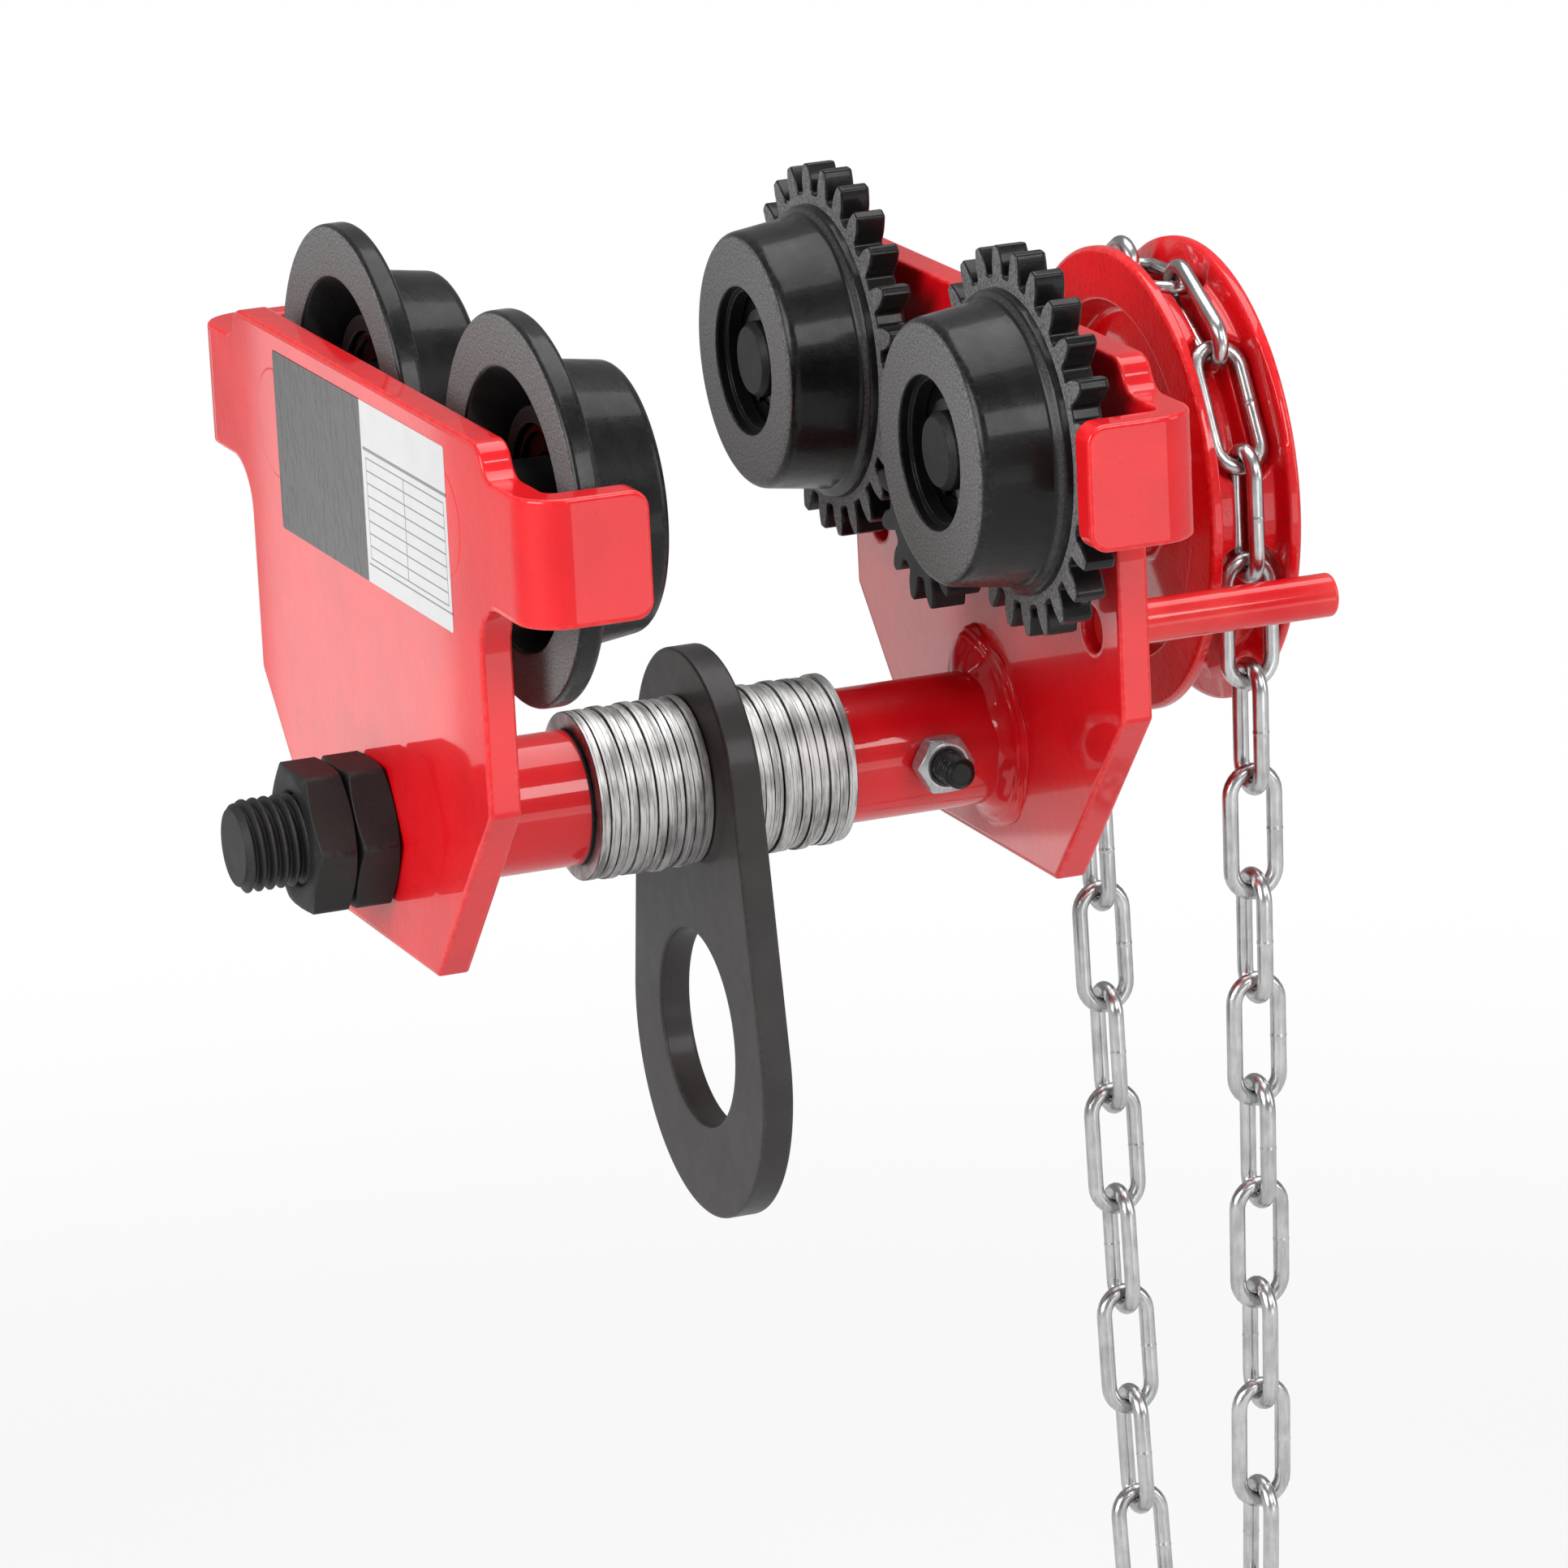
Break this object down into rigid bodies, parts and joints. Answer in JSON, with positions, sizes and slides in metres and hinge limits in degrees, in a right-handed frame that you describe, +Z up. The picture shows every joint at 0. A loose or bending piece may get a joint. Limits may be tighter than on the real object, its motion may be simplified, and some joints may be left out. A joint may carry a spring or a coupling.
{
  "type": "geared beam trolley",
  "caption": "Geared beam trolley for lifting gear: side plates with flanged wheels run on an I-beam, a hand chain wheel drives the geared ones, and a holed plate hangs from the cross bar.",
  "frame": {"origin": "centre of the four wheels, on the beam flange's running surface at tread height", "axes": "+X along the load bar towards the geared side plate, +Y along the beam, +Z up"},
  "size_m": [0.2348, 0.212, 0.4127],
  "materials": {
    "red_enamel": "glossy red enamel with a fine orange peel",
    "black_plate_paint": "satin black paint",
    "black_cast_wheel": "satin black paint over castings, grainy on the gear faces",
    "blackened_steel": "black oxide",
    "zinc_washers": "dull zinc plate",
    "bright_zinc": "bright zinc plate",
    "zinc_chain": "bright zinc plate",
    "bearing_steel": "ground steel",
    "spring_steel": "phosphated spring steel",
    "bright_key": "ground key steel",
    "bronze": "oiled sintered bronze"
  },
  "bodies": {
    "frame": {"left_side_plate": "red_enamel", "right_side_plate": "red_enamel", "left_sleeve": "red_enamel", "right_sleeve": "red_enamel", "sleeve_weld": "red_enamel", "left_spacers": "zinc_washers", "right_spacers": "zinc_washers", "load_bar": "blackened_steel", "inner_nut": "blackened_steel", "outer_nut": "blackened_steel", "cross_bolt": "blackened_steel", "cross_bolt_nut": "bright_zinc", "shaft_boss": "red_enamel", "shaft_bush": "bronze", "guide_rod_front": "red_enamel", "guide_rod_rear": "red_enamel", "hand_chain_top": "zinc_chain", "hand_chain_front": "zinc_chain", "hand_chain_rear": "zinc_chain", "hand_chain_bottom": "zinc_chain", "bearing_inner_left_front": "bearing_steel", "axle_circlip_left_front": "spring_steel", "axle_left_front": "blackened_steel", "bearing_inner_left_rear": "bearing_steel", "axle_circlip_left_rear": "spring_steel", "axle_left_rear": "blackened_steel", "bearing_inner_right_front": "bearing_steel", "axle_circlip_right_front": "spring_steel", "axle_right_front": "blackened_steel", "bearing_inner_right_rear": "bearing_steel", "axle_circlip_right_rear": "spring_steel", "axle_right_rear": "blackened_steel"},
    "plain_wheel_front": {"plain_wheel_front": "black_cast_wheel", "bearing_outer_left_front": "bearing_steel", "retaining_ring_left_front": "spring_steel"},
    "plain_wheel_rear": {"plain_wheel_rear": "black_cast_wheel", "bearing_outer_left_rear": "bearing_steel", "retaining_ring_left_rear": "spring_steel"},
    "geared_wheel_front": {"geared_wheel_front": "black_cast_wheel", "bearing_outer_right_front": "bearing_steel", "retaining_ring_right_front": "spring_steel"},
    "geared_wheel_rear": {"geared_wheel_rear": "black_cast_wheel", "bearing_outer_right_rear": "bearing_steel", "retaining_ring_right_rear": "spring_steel"},
    "hand_drive": {"drive_shaft": "blackened_steel", "drive_key": "bright_key", "shaft_circlip": "spring_steel", "hand_chain_wheel": "red_enamel"},
    "load_plate": {"load_plate": "black_plate_paint"}
  },
  "joints": [
    {"name": "plain_front_spin", "type": "hinge", "parent": "frame", "child": "plain_wheel_front", "pos_m": [-0.0469, -0.053, 0.0297], "axis": [1, 0, 0], "continuous": true},
    {"name": "plain_rear_spin", "type": "hinge", "parent": "frame", "child": "plain_wheel_rear", "pos_m": [-0.0469, 0.053, 0.0297], "axis": [1, 0, 0], "continuous": true},
    {"name": "geared_front_spin", "type": "hinge", "parent": "frame", "child": "geared_wheel_front", "pos_m": [0.0469, -0.053, 0.0297], "axis": [1, 0, 0], "continuous": true},
    {"name": "geared_rear_spin", "type": "hinge", "parent": "frame", "child": "geared_wheel_rear", "pos_m": [0.0469, 0.053, 0.0297], "axis": [1, 0, 0], "continuous": true},
    {"name": "drive_spin", "type": "hinge", "parent": "frame", "child": "hand_drive", "pos_m": [0.08, 0, 0.00494], "axis": [1, 0, 0], "continuous": true, "deforming": ["hand_chain_top", "hand_chain_front", "hand_chain_rear", "hand_chain_bottom"]},
    {"name": "load_plate_swing", "type": "hinge", "parent": "frame", "child": "load_plate", "pos_m": [0, 0, -0.0483], "axis": [1, 0, 0], "range_deg": [-85, 85]}
  ],
  "couplings": [
    {"joint": "geared_rear_spin", "follows": "geared_front_spin", "ratio": 1},
    {"joint": "drive_spin", "follows": "geared_front_spin", "ratio": -2}
  ]
}
